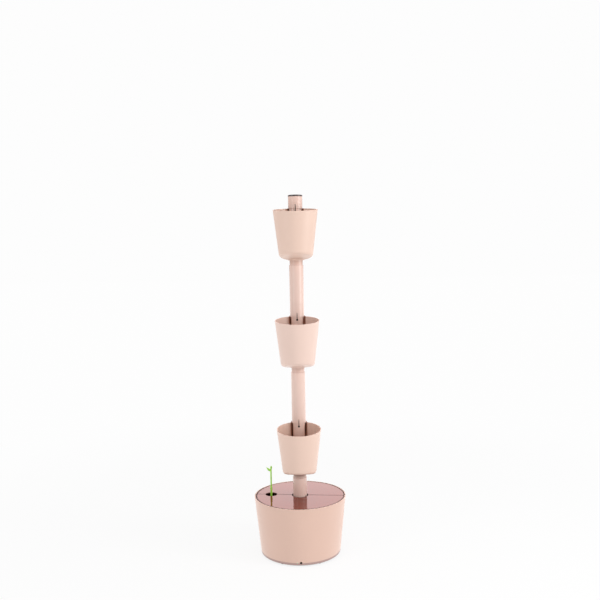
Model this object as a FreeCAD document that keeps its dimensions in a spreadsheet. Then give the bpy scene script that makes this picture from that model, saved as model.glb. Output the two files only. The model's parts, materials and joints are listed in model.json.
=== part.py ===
import FreeCAD, Part
import os
import re
import Sketcher

# Self-watering planter tower: a water tank with a lid in two halves, and above it three leaning
# pots on a mast of plug-together tubes. Millimetres, +Z up, front towards -Y. The origin is on
# the ground, on the mast's axis.

doc = FreeCAD.newDocument("planter_tower")

SIZES = [
    # Water tank
    ("rim_radius", 176.8, "outside radius of the tank at its rim"),
    ("base_radius", 154.0, "outside radius of the tank at its lower edge"),
    ("skirt_height", 6.0, "lower edge of the tank above the ground"),
    ("tank_height", 224.0, "tank rim above the ground"),
    ("tank_wall", 3.0, "tank wall thickness"),
    ("tank_edge", 2.0, "rounding of the tank's lower edge"),
    ("water_floor", 40.0, "top of the tank's floor above the ground"),
    ("floor_thickness", 3.0, "thickness of the tank's floor"),
    ("lid_recess", 5.0, "depth of the lid's ledge below the rim"),
    ("ledge_width", 6.0, "width of the ledge that carries the lid"),
    # Lid
    ("lid_thickness", 4.0, "thickness of the lid halves"),
    ("lid_gap", 1.3, "radial clearance between lid and rim"),
    ("seam_gap", 1.0, "gap between the two lid halves"),
    ("lid_turn", -5.8, "how far the round lid is turned in its rim, degrees"),
    ("notch_gap", 3.5, "clearance between the mast and the lid"),
    ("fill_radius", 21.5, "radius of the filling hole on the lid's seam"),
    ("fill_offset", 113.0, "filling hole from the mast's axis"),
    # Foot
    ("plate_gap", 0.5, "radial clearance of the plate that closes the base"),
    ("plate_thickness", 3.0, "thickness of the plate that closes the base"),
    ("foot_radius", 146.0, "outside radius of the foot ring"),
    ("foot_width", 15.0, "width of the foot ring"),
    ("pad_height", 2.0, "height of the rubber pads under the foot ring"),
    ("pad_radius", 5.5, "radius of the rubber pads"),
    ("pad_count", 6, "number of rubber pads"),
    ("screw_circle", 121.0, "circle of the base screws"),
    ("screw_count", 6, "number of base screws"),
    ("screw_radius", 1.9, "shank radius of the screws"),
    ("screw_length", 16.0, "shank length of the base screws"),
    ("screw_head", 3.8, "head radius of the screws"),
    ("head_height", 2.2, "head height of the screws"),
    ("boss_wall", 3.0, "wall of the screw bosses"),
    # Dry bay
    ("box_width", 96.0, "width of the controller box"),
    ("box_depth", 62.0, "depth of the controller box"),
    ("box_height", 19.0, "height of the controller box"),
    ("box_distance", 76.0, "middle of the controller box in front of the mast's axis"),
    ("inlet_height", 15.5, "middle of the power inlet above the ground"),
    ("inlet_radius", 4.6, "radius of the power inlet's barrel"),
    ("inlet_bore", 3.0, "radius of the power inlet's socket"),
    ("inlet_length", 24.0, "length of the power inlet's barrel"),
    ("inlet_pin", 1.0, "radius of the power inlet's pin"),
    ("inlet_nut_width", 1.6, "width of the power inlet's nut round its barrel"),
    ("light_offset", 14.0, "status light beside the power inlet"),
    ("light_radius", 1.8, "radius of the status light"),
    ("gland_radius", 4.0, "radius of the gland's thread, where the pump's lead leaves the dry bay"),
    ("gland_bore", 2.4, "radius of the gland's bore"),
    ("gland_distance", 72.0, "gland in front of the mast's axis"),
    ("gland_flange", 7.5, "radius of the gland's flange and nut"),
    # Fits
    ("slip_fit", 0.1, "radial clearance of parts that slip together"),
    ("press_fit", 0.05, "radial clearance of parts that are pressed together"),
    ("turn_fit", 0.3, "radial clearance round a part that stays still while others turn"),
    # Mast
    ("mast_radius", 27.0, "outside radius of tubes and columns"),
    ("mast_wall", 2.0, "wall thickness of the tubes"),
    ("spigot_fit", 0.1, "radial clearance of each plugged joint"),
    ("seat_gap", 0.2, "axial clearance where one part turns on another"),
    ("socket_depth", 40.0, "depth that a tube plugs into the column below it"),
    ("spigot_length", 45.0, "length that a column plugs into the tube below it"),
    ("slit_width", 1.4, "width of the slit in each column"),
    ("keyhole_radius", 3.3, "radius of the round hole that ends the slit"),
    ("keyhole_height", -12.0, "round hole above the pot's rim plane"),
    ("slit_length", 27.0, "length of the slit above its round hole"),
    # Modules
    ("first_rim", 510.0, "lowest pot's rim plane at the mast's axis, above the ground"),
    ("module_pitch", 411.0, "distance from one pot to the next"),
    ("column_rise", 48.0, "column top above the pot's rim plane"),
    ("neck_drop", 15.0, "seam under a pot below the pot's underside"),
    # Pots
    ("pot_radius", 83.3, "outside radius of the pot's rim"),
    ("pot_taper", 6.6, "half angle of the pot's cone, degrees"),
    ("pot_lean", 6.3, "forward lean of the pot's axis, degrees"),
    ("pot_forward", 80.0, "middle of the pot's rim in front of the mast's axis"),
    ("pot_depth", 200.0, "rim plane to underside, along the mast's axis"),
    ("pot_wall", 2.6, "pot wall thickness"),
    ("pot_floor", 3.0, "pot floor thickness"),
    ("pot_corner", 14.0, "rounding of the pot's lower edge"),
    ("underside_slope", 13.0, "slope of the pot's underside, lower at the back, degrees"),
    ("niche_radius", 31.5, "outside radius of the pot's niche round the column"),
    ("niche_wall", 3.4, "wall of the niche"),
    ("niche_corner", 2.0, "rounding of the niche's lower edge"),
    ("niche_rise", 3.0, "underside of the niche above the pot's underside at the axis"),
    ("boss_rise", 17.0, "top of the pot's boss above the underside"),
    ("boss_web", 4.0, "thickness of the boss between nut and seal"),
    ("nut_radius", 28.0, "outside radius of the nut that holds the pot on its column"),
    ("nut_height", 6.0, "height of that nut"),
    ("nut_notch", 4.0, "width of the nut's notches for its key"),
    ("seal_thickness", 1.5, "thickness of the seal between pot and column"),
    ("flange_radius", 27.5, "radius of the column's flange"),
    ("flange_thickness", 3.5, "thickness of the column's flange"),
    ("drain_radius", 3.0, "radius of the drain holes in the column"),
    ("drain_count", 4, "number of drain holes in each column"),
    ("strainer_wall", 2.0, "wall of the strainer ring"),
    ("strainer_height", 20.0, "height of the strainer ring"),
    ("strainer_slot", 2.4, "width of the strainer's slots"),
    ("strainer_slots", 12, "number of the strainer's slots"),
    # Mast socket in the tank
    ("socket_wall", 4.0, "wall of the mast socket"),
    ("socket_top", 150.0, "top of the mast socket above the ground"),
    ("socket_seat", 100.0, "seat of the lowest tube above the ground"),
    ("socket_flange", 50.0, "radius of the mast socket's flange"),
    ("socket_base", 5.0, "thickness of the mast socket's flange"),
    ("socket_circle", 41.0, "circle of the mast socket's screws"),
    ("socket_screw_length", 11.0, "shank length of the mast socket's screws"),
    ("socket_boss", 7.0, "height of the blind bosses under the tank's floor for those screws"),
    ("window_width", 14.0, "width of the windows that let water in to the pump"),
    ("window_height", 30.0, "height of the windows that let water in to the pump"),
    ("window_count", 4, "number of windows"),
    # Pump and riser
    ("pump_radius", 17.0, "radius of the pump"),
    ("pump_height", 42.0, "height of the pump"),
    ("pump_foot", 3.0, "height of the pump's suction feet"),
    ("filter_wall", 2.5, "wall of the intake filter"),
    ("filter_height", 20.0, "height of the intake filter"),
    ("filter_slot", 2.0, "width of the intake filter's slots"),
    ("filter_slots", 12, "number of the intake filter's slots"),
    ("nozzle_radius", 4.0, "radius of the pump's outlet"),
    ("nozzle_height", 14.0, "height of the pump's outlet"),
    ("riser_wall", 2.0, "wall of the riser pipe"),
    ("guide_height", 8.0, "height of the riser guides"),
    ("guide_rim", 3.0, "rim and hub width of the riser guides"),
    ("guide_spoke", 3.0, "width of the riser guides' spokes"),
    ("guide_spokes", 3, "number of the riser guides' spokes"),
    ("emitter_height", 12.0, "height of the water outlet in the top column"),
    ("emitter_hole", 1.2, "radius of the water outlet's holes"),
    # Top cap
    ("cap_height", 4.0, "height of the cap above the top column"),
    ("cap_inset", 0.6, "cap edge inside the column's edge"),
    ("cap_dome", 1.2, "rise of the cap's middle"),
    ("cap_plug", 14.0, "depth of the cap's plug"),
    ("cap_wall", 2.0, "wall of the cap's plug"),
    # Water level indicator
    ("guide_radius", 19.0, "outside radius of the float's guide tube"),
    ("guide_wall", 2.0, "wall of the float's guide tube"),
    ("guide_top", 198.0, "top of the float's guide tube above the ground"),
    ("guide_flange", 27.0, "radius of the guide tube's flange"),
    ("float_radius", 15.5, "radius of the float"),
    ("float_height", 38.0, "height of the float"),
    ("float_lift", 0.3, "float above the tank's floor when the tank is empty"),
    ("rod_radius", 3.9, "radius of the float's rod"),
    ("rod_fit", 0.4, "radial clearance of the rod in its guide"),
    ("rod_top", 255.0, "top of the rod above the ground when the tank is empty"),
    ("stem_radius", 2.6, "radius of the sprout's stem"),
    ("stem_top", 336.0, "top of the sprout above the ground when the tank is empty"),
    ("stem_plug", 12.0, "depth that the stem plugs into the rod"),
    ("leaf_reach", 16.5, "leaf's tip beside the stem's axis"),
    ("leaf_rise", 17.0, "leaf's tip above its foot"),
    ("leaf_under", 60.0, "radius of the leaf's lower edge"),
    ("leaf_over", 15.0, "radius of the leaf's upper edge"),
    ("leaf_thickness", 2.4, "thickness of the sprout's leaf"),
]

sheet = doc.addObject("Spreadsheet::Sheet", "sizes")
for row, (alias, amount, meaning) in enumerate(SIZES, start=1):
    sheet.set("A%d" % row, meaning)
    sheet.set("B%d" % row, str(amount))
    sheet.setAlias("B%d" % row, alias)
doc.recompute()

ALIASES = {alias for alias, amount, meaning in SIZES}
pieces = []


def cells(text):
    """The expression with each size's name pointing at its cell."""
    return re.sub(r"[a-z_]+", lambda word: ("sizes." if word[0] in ALIASES else "") + word[0], str(text))


def size(text):
    """The expression's value now."""
    return float(sheet.evalExpression(cells(text)))


def bind(thing, field, text):
    thing.setExpression(field, cells(text))


def keep(piece):
    """Register a sub-part, whose Label names its file."""
    pieces.append(piece)
    return piece


def new_body(label):
    body = doc.addObject("PartDesign::Body", label)
    body.Label = label
    return body


def new_sketch(body, role, offset="0"):
    """A sketch on one of the body's own origin planes, moved along that plane's normal."""
    sketch = body.newObject("Sketcher::SketchObject", body.Label + "_sketch")
    plane = [feature for feature in body.Origin.OriginFeatures if feature.Role == role][0]
    sketch.AttachmentSupport = [(plane, "")]
    sketch.MapMode = "FlatFace"
    bind(sketch, "AttachmentOffset.Base.z", offset)
    return sketch


def pin_point(sketch, edge, end, across, up):
    """Hold a sketch point at two expressions, measured from the sketch's origin."""
    for kind, text, axis in (("DistanceX", across, -2), ("DistanceY", up, -1)):
        if str(text) == "0":
            sketch.addConstraint(Sketcher.Constraint("PointOnObject", edge, end, axis))
        else:
            index = sketch.addConstraint(Sketcher.Constraint(kind, -1, 1, edge, end, size(text)))
            bind(sketch, "Constraints[%d]" % index, text)


def add_outline(sketch, corners):
    """A closed outline through corners given as pairs of expressions."""
    places = [FreeCAD.Vector(size(across), size(up), 0) for across, up in corners]
    first = sketch.GeometryCount
    count = len(places)
    for index in range(count):
        sketch.addGeometry(Part.LineSegment(places[index], places[(index + 1) % count]), False)
    for index in range(count):
        following = first + (index + 1) % count
        sketch.addConstraint(Sketcher.Constraint("Coincident", first + index, 2, following, 1))
    for index, (across, up) in enumerate(corners):
        pin_point(sketch, first + index, 1, across, up)


def add_circle(sketch, across, up, radius):
    centre = FreeCAD.Vector(size(across), size(up), 0)
    edge = sketch.addGeometry(Part.Circle(centre, FreeCAD.Vector(0, 0, 1), size(radius)), False)
    pin_point(sketch, edge, 3, across, up)
    index = sketch.addConstraint(Sketcher.Constraint("Radius", edge, size(radius)))
    bind(sketch, "Constraints[%d]" % index, radius)


def add_box(sketch, left, bottom, right, top):
    add_outline(sketch, [(left, bottom), (right, bottom), (right, top), (left, top)])


def add_arc(sketch, start, end, radius):
    """An arc of under a half circle, counter-clockwise from one pair of expressions to another."""
    begin = FreeCAD.Vector(size(start[0]), size(start[1]), 0)
    finish = FreeCAD.Vector(size(end[0]), size(end[1]), 0)
    chord = finish - begin
    normal = FreeCAD.Vector(-chord.y, chord.x, 0).normalize()
    sagitta = size(radius) - (size(radius) ** 2 - chord.Length ** 2 / 4) ** 0.5
    crown = (begin + finish) / 2 - normal * sagitta
    edge = sketch.addGeometry(Part.Arc(begin, crown, finish), False)
    pin_point(sketch, edge, 1, start[0], start[1])
    pin_point(sketch, edge, 2, end[0], end[1])
    index = sketch.addConstraint(Sketcher.Constraint("Radius", edge, size(radius)))
    bind(sketch, "Constraints[%d]" % index, radius)


def revolve(body, corners):
    """Turn an outline of radius and height about the body's own Z axis."""
    sketch = new_sketch(body, "XZ_Plane")
    add_outline(sketch, corners)
    turned = body.newObject("PartDesign::Revolution", body.Label + "_turned")
    turned.Profile = sketch
    turned.ReferenceAxis = (sketch, ["V_Axis"])
    turned.Angle = 360
    body.Tip = turned
    return turned


def extrude(body, sketch, length, cut=False, reverse=False):
    """Pad or pocket a sketch, and stop if it changes nothing."""
    doc.recompute()
    before = body.Shape.Volume if body.Tip else 0.0
    kind = "Pocket" if cut else "Pad"
    feature = body.newObject("PartDesign::" + kind, body.Label + "_" + kind.lower())
    feature.Profile = sketch
    feature.Type = 0
    bind(feature, "Length", length)
    feature.Reversed = reverse
    body.Tip = feature
    doc.recompute()
    if abs(feature.Shape.Volume - before) < 0.01:
        raise RuntimeError("%s on %s changes nothing" % (kind, body.Label))
    return feature


def repeat(body, feature, count):
    """Repeat a feature evenly about the body's Z axis."""
    pattern = body.newObject("PartDesign::PolarPattern", body.Label + "_pattern")
    pattern.Originals = [feature]
    axis = [item for item in body.Origin.OriginFeatures if item.Role == "Z_Axis"][0]
    pattern.Axis = (axis, [""])
    pattern.Angle = 360
    bind(pattern, "Occurrences", count)
    body.Tip = pattern
    return pattern


def round_edges(body, radius, choose):
    """Fillet the edges of the body's tip that the test picks."""
    doc.recompute()
    tip = body.Tip
    names = ["Edge%d" % (number + 1) for number, edge in enumerate(tip.Shape.Edges) if choose(edge)]
    fillet = body.newObject("PartDesign::Fillet", body.Label + "_fillet")
    fillet.Base = (tip, names)
    bind(fillet, "Radius", radius)
    body.Tip = fillet
    return fillet


def is_ring(radius, height):
    """A test for the full circle of a given radius at a given height."""
    def test(edge):
        if not isinstance(edge.Curve, Part.Circle):
            return False
        near = abs(edge.Curve.Radius - size(radius)) < 0.05
        return near and abs(edge.Curve.Center.z - size(height)) < 0.05
    return test


def place(body, across="0", along="0", up="0", turn="0"):
    bind(body, "Placement.Base.x", across)
    bind(body, "Placement.Base.y", along)
    bind(body, "Placement.Base.z", up)
    bind(body, "Placement.Rotation.Angle", turn)


def group(label, members):
    """Separate equal solids under one name."""
    bundle = doc.addObject("Part::Compound", label)
    bundle.Label = label
    bundle.Links = members
    return keep(bundle)


def around(count, index):
    """Cosine and sine, as expressions, of one place out of several on a circle."""
    return "cos(360 * %d / %s)" % (index, count), "sin(360 * %d / %s)" % (index, count)


# Tank wall radius, outside, at a height above the ground
SLOPE = "((rim_radius - base_radius) / (tank_height - skirt_height))"


def tank_radius(height):
    return "(base_radius + (%s - skirt_height) * %s)" % (height, SLOPE)


LEDGE = "tank_height - lid_recess"
RECESS_RADIUS = "(rim_radius - tank_wall - 0.6)"
PLATE_RADIUS = "(base_radius - tank_wall - plate_gap)"
UNDERFLOOR = "water_floor - floor_thickness"
LID_RADIUS = "(%s - lid_gap)" % RECESS_RADIUS
LEDGE_DROP = "ledge_width + 3"
MAST_BORE = "(mast_radius - mast_wall)"
SPIGOT = "(mast_radius - mast_wall - spigot_fit)"
SPIGOT_BORE = "(mast_radius - 2 * mast_wall)"
PLUG = "(mast_radius - 2 * mast_wall - spigot_fit)"
PLUG_BORE = "(mast_radius - 3 * mast_wall)"


def base_tank():
    """Tapered tub: water floor, dry bay under it, ledge for the lid, bosses for the base screws."""
    body = new_body("base_tank")
    ledge_foot = "(%s - (%s))" % (LEDGE, LEDGE_DROP)
    revolve(body, [
        ("0", UNDERFLOOR),
        (tank_radius(UNDERFLOOR) + " - tank_wall", UNDERFLOOR),
        ("base_radius - tank_wall", "skirt_height"),
        ("base_radius", "skirt_height"),
        ("rim_radius", "tank_height"),
        (RECESS_RADIUS, "tank_height"),
        (RECESS_RADIUS, LEDGE),
        (RECESS_RADIUS + " - ledge_width", LEDGE),
        (tank_radius(ledge_foot) + " - tank_wall", ledge_foot),
        (tank_radius("water_floor") + " - tank_wall", "water_floor"),
        ("0", "water_floor"),
    ])
    boss = new_sketch(body, "XY_Plane", "skirt_height + plate_thickness")
    add_circle(boss, "screw_circle", "0", "screw_radius + boss_wall")
    rise = UNDERFLOOR + " - skirt_height - plate_thickness + 1"
    repeat(body, extrude(body, boss, rise), "screw_count")
    pilot = new_sketch(body, "XY_Plane", "skirt_height + plate_thickness")
    add_circle(pilot, "screw_circle", "0", "screw_radius + press_fit")
    repeat(body, extrude(body, pilot, "screw_length + 1", cut=True, reverse=True), "screw_count")
    blind = new_sketch(body, "XY_Plane", UNDERFLOOR + " - socket_boss")
    add_circle(blind, "socket_circle", "0", "screw_radius + boss_wall")
    repeat(body, extrude(body, blind, "socket_boss + 1"), "window_count")
    thread = new_sketch(body, "XY_Plane", "water_floor")
    add_circle(thread, "socket_circle", "0", "screw_radius + press_fit")
    depth = "socket_screw_length - socket_base + 1"
    repeat(body, extrude(body, thread, depth, cut=True), "window_count")
    for across, radius in (("0", "inlet_radius"), ("-light_offset", "light_radius")):
        opening = new_sketch(body, "XZ_Plane", "rim_radius")
        add_circle(opening, across, "inlet_height", radius + " + slip_fit")
        extrude(body, opening, "rim_radius - base_radius + 3 * tank_wall", cut=True)
    passage = new_sketch(body, "XY_Plane", UNDERFLOOR)
    add_circle(passage, "0", "-gland_distance", "gland_radius + slip_fit")
    extrude(body, passage, "floor_thickness", cut=True, reverse=True)
    round_edges(body, "tank_edge", is_ring("base_radius", "skirt_height"))
    round_edges(body, "1", is_ring("rim_radius", "tank_height"))
    return keep(body)


def bottom_plate():
    """Plate that closes the dry bay, screwed up from below."""
    body = new_body("bottom_plate")
    sketch = new_sketch(body, "XY_Plane", "skirt_height")
    add_circle(sketch, "0", "0", PLATE_RADIUS)
    extrude(body, sketch, "plate_thickness")
    hole = new_sketch(body, "XY_Plane", "skirt_height")
    add_circle(hole, "screw_circle", "0", "screw_radius + 0.2")
    drilled = extrude(body, hole, "plate_thickness", cut=True, reverse=True)
    repeat(body, drilled, "screw_count")
    return keep(body)


def foot_ring():
    """Dark recessed ring that the base stands on."""
    body = new_body("foot_ring")
    revolve(body, [
        ("foot_radius - foot_width", "pad_height"),
        ("foot_radius - 1.5", "pad_height"),
        ("foot_radius", "pad_height + 1.5"),
        ("foot_radius", "skirt_height"),
        ("foot_radius - foot_width", "skirt_height"),
    ])
    return keep(body)


def rubber_feet():
    pads = []
    for index in range(int(size("pad_count"))):
        body = new_body("rubber_foot_%d" % (index + 1))
        revolve(body, [
            ("0", "0"),
            ("pad_radius - 0.6", "0"),
            ("pad_radius", "0.6"),
            ("pad_radius", "pad_height"),
            ("0", "pad_height"),
        ])
        across, along = around("pad_count", index)
        middle = "(foot_radius - foot_width / 2)"
        place(body, "%s * %s" % (middle, across), "%s * %s" % (middle, along))
        pads.append(body)
    group("rubber_feet", pads)


def screw_set(label, count, circle, seat, length, upward):
    """Screws on a circle: head on the seat, shank up or down from it."""
    sign = "" if upward else "-"
    screws = []
    for index in range(int(size(count))):
        body = new_body("%s_%d" % (label[:-1], index + 1))
        away = "-" if upward else ""
        revolve(body, [
            ("0", away + "head_height"),
            ("screw_head - 0.8", away + "head_height"),
            ("screw_head", away + "head_height * 0.5"),
            ("screw_head", "0"),
            ("screw_radius", "0"),
            ("screw_radius", "%s(%s - 1)" % (sign, length)),
            ("screw_radius - 0.8", "%s%s" % (sign, length)),
            ("0", "%s%s" % (sign, length)),
        ])
        across, along = around(count, index)
        place(body, "%s * %s" % (circle, across), "%s * %s" % (circle, along), seat)
        screws.append(body)
    group(label, screws)


def control_box():
    """Closed housing of the pump's controller, in the dry bay."""
    body = new_body("control_box")
    sketch = new_sketch(body, "XY_Plane", "skirt_height + plate_thickness")
    front = "-box_distance - box_depth / 2"
    add_box(sketch, "-box_width / 2", front, "box_width / 2", front + " + box_depth")
    extrude(body, sketch, "box_height")
    round_edges(body, "5", lambda edge: abs(edge.tangentAt(edge.FirstParameter).z) > 0.9)
    return keep(body)


def power_inlet():
    """Round low-voltage inlet at the front of the base: barrel, nut inside, pin in the socket."""
    front = tank_radius("inlet_height") + " - 0.6"
    barrel = new_body("power_inlet")
    revolve(barrel, [
        ("0", "-inlet_length"),
        ("inlet_radius", "-inlet_length"),
        ("inlet_radius", "0"),
        ("inlet_bore", "0"),
        ("inlet_bore", "-inlet_length / 2"),
        ("0", "-inlet_length / 2"),
    ])
    pin = new_body("inlet_pin")
    revolve(pin, [
        ("0", "-inlet_length / 2"),
        ("inlet_pin", "-inlet_length / 2"),
        ("inlet_pin", "-2"),
        ("inlet_pin - 0.4", "-1.5"),
        ("0", "-1.5"),
    ])
    nut = new_body("inlet_nut")
    revolve(nut, [
        ("inlet_radius + press_fit", "-tank_wall - 3.4"),
        ("inlet_radius + inlet_nut_width", "-tank_wall - 3.4"),
        ("inlet_radius + inlet_nut_width", "-tank_wall - 0.4"),
        ("inlet_radius + press_fit", "-tank_wall - 0.4"),
    ])
    light = new_body("status_light")
    revolve(light, [
        ("0", "-8"),
        ("light_radius", "-8"),
        ("light_radius", "-0.3"),
        ("light_radius - 0.6", "0"),
        ("0", "0"),
    ])
    for body, across in ((barrel, "0"), (pin, "0"), (nut, "0"), (light, "-light_offset")):
        place(body, across, "-(%s)" % front, "inlet_height", "90")
        body.Placement.Rotation = FreeCAD.Rotation(FreeCAD.Vector(1, 0, 0), 90)
        keep(body)


def lead_gland():
    """Gland in the tank's floor, for the lead from the controller to the pump, and its nut."""
    gland = new_body("lead_gland")
    revolve(gland, [
        ("gland_bore", UNDERFLOOR + " - 5"),
        ("gland_radius", UNDERFLOOR + " - 5"),
        ("gland_radius", "water_floor"),
        ("gland_flange", "water_floor"),
        ("gland_flange", "water_floor + 5"),
        ("gland_flange - 2", "water_floor + 10"),
        ("gland_bore", "water_floor + 10"),
    ])
    nut = new_body("gland_nut")
    revolve(nut, [
        ("gland_radius + press_fit", UNDERFLOOR + " - 4"),
        ("gland_flange", UNDERFLOOR + " - 4"),
        ("gland_flange", UNDERFLOOR),
        ("gland_radius + press_fit", UNDERFLOOR),
    ])
    for body in (gland, nut):
        place(body, along="-gland_distance")
        keep(body)


def lid_half(label, side):
    """Half of the round lid, with half of the mast's notch and half of the filling hole."""
    body = new_body(label)
    disc = new_sketch(body, "XY_Plane", LEDGE)
    add_circle(disc, "0", "0", LID_RADIUS)
    extrude(body, disc, "lid_thickness")
    other = new_sketch(body, "XY_Plane", LEDGE)
    reach = "(rim_radius + 10)"
    if side < 0:
        add_box(other, "-" + reach, "-seam_gap / 2", reach, reach)
    else:
        add_box(other, "-" + reach, "-" + reach, reach, "seam_gap / 2")
    extrude(body, other, "lid_thickness", cut=True, reverse=True)
    for across, radius in (("0", "mast_radius + notch_gap"), ("-fill_offset", "fill_radius")):
        hole = new_sketch(body, "XY_Plane", LEDGE)
        add_circle(hole, across, "0", radius)
        extrude(body, hole, "lid_thickness", cut=True, reverse=True)
    place(body, turn="lid_turn")
    return keep(body)


def mast_socket():
    """Tower on the tank's floor: seat for the lowest tube, chamber with windows for the pump."""
    body = new_body("mast_socket")
    outer = "(mast_radius + spigot_fit + socket_wall)"
    revolve(body, [
        (MAST_BORE, "water_floor"),
        ("socket_flange", "water_floor"),
        ("socket_flange", "water_floor + socket_base"),
        (outer + " + 3", "water_floor + socket_base"),
        (outer, "water_floor + socket_base + 3"),
        (outer, "socket_top - 1"),
        (outer + " - 1", "socket_top"),
        ("mast_radius + spigot_fit", "socket_top"),
        ("mast_radius + spigot_fit", "socket_seat"),
        (MAST_BORE, "socket_seat"),
    ])
    window = new_sketch(body, "XZ_Plane", outer + " + 4")
    low = "water_floor + socket_base + 2"
    add_box(window, "-window_width / 2", low, "window_width / 2", low + " + window_height")
    cut = extrude(body, window, outer, cut=True)
    repeat(body, cut, "window_count")
    hole = new_sketch(body, "XY_Plane", "water_floor")
    add_circle(hole, "socket_circle", "0", "screw_radius + slip_fit")
    drilled = extrude(body, hole, "socket_base", cut=True, reverse=True)
    repeat(body, drilled, "window_count")
    return keep(body)


def pump_parts():
    """Submersible pump in the socket's chamber, its feet, slotted filter and outlet."""
    foot = "water_floor + pump_foot"
    body = new_body("pump_body")
    revolve(body, [
        ("0", foot),
        ("pump_radius", foot),
        ("pump_radius", foot + " + pump_height - 4"),
        ("pump_radius - 4", foot + " + pump_height"),
        ("nozzle_radius", foot + " + pump_height"),
        ("nozzle_radius", foot + " + pump_height + nozzle_height"),
        ("0", foot + " + pump_height + nozzle_height"),
    ])
    keep(body)
    feet = []
    for index in range(3):
        pad = new_body("pump_foot_%d" % (index + 1))
        revolve(pad, [
            ("0", "water_floor"),
            ("4", "water_floor"),
            ("2.4", foot + " - 1"),
            ("2.4", foot),
            ("0", foot),
        ])
        across, along = around("3", index)
        place(pad, "(pump_radius - 6) * " + across, "(pump_radius - 6) * " + along)
        feet.append(pad)
    group("pump_feet", feet)
    ring = new_body("intake_filter")
    revolve(ring, [
        ("pump_radius + slip_fit", foot),
        ("pump_radius + slip_fit + filter_wall", foot),
        ("pump_radius + slip_fit + filter_wall", foot + " + filter_height"),
        ("pump_radius + slip_fit", foot + " + filter_height"),
    ])
    slot = new_sketch(ring, "XZ_Plane", "pump_radius + filter_wall + 2")
    add_box(slot, "-filter_slot / 2", foot + " + 3", "filter_slot / 2", foot + " + filter_height - 3")
    cut = extrude(ring, slot, "filter_wall + 5", cut=True)
    repeat(ring, cut, "filter_slots")
    keep(ring)


def module_height(index):
    return "(first_rim + %d * module_pitch)" % index


# Heights above the rim plane at the mast's axis
EMITTER_SEAT = "column_rise - socket_depth"
SEAM = "(-pot_depth - neck_drop)"
BOSS_TOP = "(boss_rise - pot_depth)"
FLANGE = "(boss_rise - pot_depth + seal_thickness)"
STRAINER_FOOT = "(boss_rise - pot_depth + seal_thickness + flange_thickness)"
RISER_RADIUS = "(nozzle_radius + slip_fit + riser_wall)"


def riser_pipe():
    """Pipe inside the mast, from the pump's outlet to the water outlet in the top column."""
    body = new_body("riser_pipe")
    low = "water_floor + pump_foot + pump_height + 2"
    high = module_height(2) + " + " + EMITTER_SEAT + " + emitter_height / 2"
    revolve(body, [
        ("nozzle_radius + slip_fit", low),
        (RISER_RADIUS, low),
        (RISER_RADIUS, high),
        ("nozzle_radius + slip_fit", high),
    ])
    return keep(body)


def tube_top(top):
    """Outline of a tube's upper end, whose thicker wall holds the column's plug and carries it."""
    return [
        ("mast_radius", top),
        (SPIGOT_BORE, top),
        (SPIGOT_BORE, top + " - spigot_length - 2"),
        (MAST_BORE, top + " - spigot_length - 6"),
    ]


def lower_tube():
    """Lowest tube: stands in the mast socket and carries the lowest pot's column."""
    body = new_body("lower_tube")
    outline = [(MAST_BORE, "socket_seat"), ("mast_radius", "socket_seat")]
    revolve(body, outline + tube_top("first_rim + " + SEAM))
    return keep(body)


def upper_tubes():
    """Tubes between the pots: a drawn-in foot plugs into the column below."""
    for index, label in enumerate(("middle_tube", "upper_tube")):
        body = new_body(label)
        seat = "column_rise"
        outline = [
            (SPIGOT_BORE, seat + " - socket_depth + seat_gap"),
            (SPIGOT, seat + " - socket_depth + seat_gap"),
            (SPIGOT, seat),
            ("mast_radius", seat),
        ]
        foot = [(MAST_BORE, seat + " + 6"), (SPIGOT_BORE, seat + " + 2")]
        revolve(body, outline + tube_top("module_pitch + " + SEAM) + foot)
        place(body, up=module_height(index))
        keep(body)


def column(index, label):
    """Mast piece through a pot: socket with a slit on top, flange in the pot, plug below."""
    body = new_body(label)
    revolve(body, [
        (PLUG_BORE, SEAM + " - spigot_length"),
        (PLUG, SEAM + " - spigot_length"),
        (PLUG, SEAM + " + seat_gap"),
        (SPIGOT, SEAM + " + seat_gap"),
        (SPIGOT, FLANGE),
        ("flange_radius", FLANGE),
        ("flange_radius", FLANGE + " + flange_thickness"),
        (SPIGOT, FLANGE + " + flange_thickness"),
        (SPIGOT, "0"),
        ("mast_radius", "0"),
        ("mast_radius", "column_rise - 0.4"),
        ("mast_radius - 0.4", "column_rise"),
        (MAST_BORE, "column_rise"),
        (MAST_BORE, EMITTER_SEAT),
        (SPIGOT_BORE, EMITTER_SEAT),
        (SPIGOT_BORE, SEAM + " + seat_gap + 6"),
        (PLUG_BORE, SEAM + " + seat_gap + 2"),
    ])
    slit = new_sketch(body, "XZ_Plane", "mast_radius + 2")
    slit_top = "keyhole_height + slit_length"
    add_box(slit, "-slit_width / 2", "keyhole_height", "slit_width / 2", slit_top)
    extrude(body, slit, "mast_radius", cut=True)
    hole = new_sketch(body, "XZ_Plane", "mast_radius + 2")
    add_circle(hole, "0", "keyhole_height", "keyhole_radius")
    extrude(body, hole, "mast_radius", cut=True)
    drain = new_sketch(body, "XZ_Plane", "mast_radius + 2")
    add_circle(drain, "0", STRAINER_FOOT + " + strainer_height / 2", "drain_radius")
    drilled = extrude(body, drain, "mast_radius", cut=True)
    repeat(body, drilled, "drain_count")
    place(body, up=module_height(index))
    return keep(body)


def tilted_block(label, height, slope):
    """A large block whose lower face is a plane that rises to the back, through the mast's axis."""
    block = doc.addObject("Part::Box", label)
    for field in ("Length", "Width", "Height"):
        bind(block, field, "6 * pot_radius")
    block.Placement.Rotation = FreeCAD.Rotation(FreeCAD.Vector(1, 0, 0), 1)
    bind(block, "Placement.Rotation.Angle", slope)
    bind(block, "Placement.Base.x", "-3 * pot_radius")
    bind(block, "Placement.Base.y", "-3 * pot_radius * cos(%s)" % slope)
    bind(block, "Placement.Base.z", "%s - 3 * pot_radius * sin(%s)" % (height, slope))
    return block


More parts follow.
